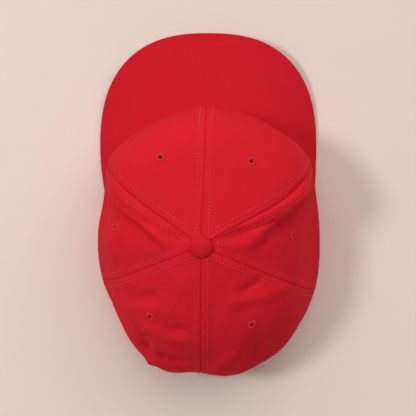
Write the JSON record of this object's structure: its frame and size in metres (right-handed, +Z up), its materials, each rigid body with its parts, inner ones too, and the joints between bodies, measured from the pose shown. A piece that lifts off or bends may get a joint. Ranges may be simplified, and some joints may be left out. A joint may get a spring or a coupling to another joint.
{
  "type": "snapback cap",
  "caption": "Red cloth snapback cap: stiff front crown, soft sides and back, gently curved flat visor, covered button, and a back arch with a fastened snap strap.",
  "frame": {"origin": "on the table, under the middle of the whole cap", "axes": "the visor points to -Y, the wearer's left is +X and up is +Z"},
  "size_m": [0.1772, 0.2654, 0.1177],
  "materials": {
    "crown_cloth": "red cotton twill, matt",
    "visor_cloth": "red cotton twill over a stiff board, matt and smooth",
    "eyelet_thread": "red stitched thread",
    "band_cloth": "plain red cotton, matt",
    "strap_plastic": "red moulded plastic, satin"
  },
  "bodies": {
    "root": {"panel_front_left": "crown_cloth", "panel_side_left": "crown_cloth", "panel_back_left": "crown_cloth", "panel_back_right": "crown_cloth", "panel_side_right": "crown_cloth", "panel_front_right": "crown_cloth", "eyelet_front_left": "eyelet_thread", "eyelet_side_left": "eyelet_thread", "eyelet_back_left": "eyelet_thread", "eyelet_back_right": "eyelet_thread", "eyelet_side_right": "eyelet_thread", "eyelet_front_right": "eyelet_thread", "button": "crown_cloth", "visor": "visor_cloth", "sweatband": "band_cloth", "strap_left": "strap_plastic", "strap_right": "strap_plastic"}
  },
  "joints": []
}
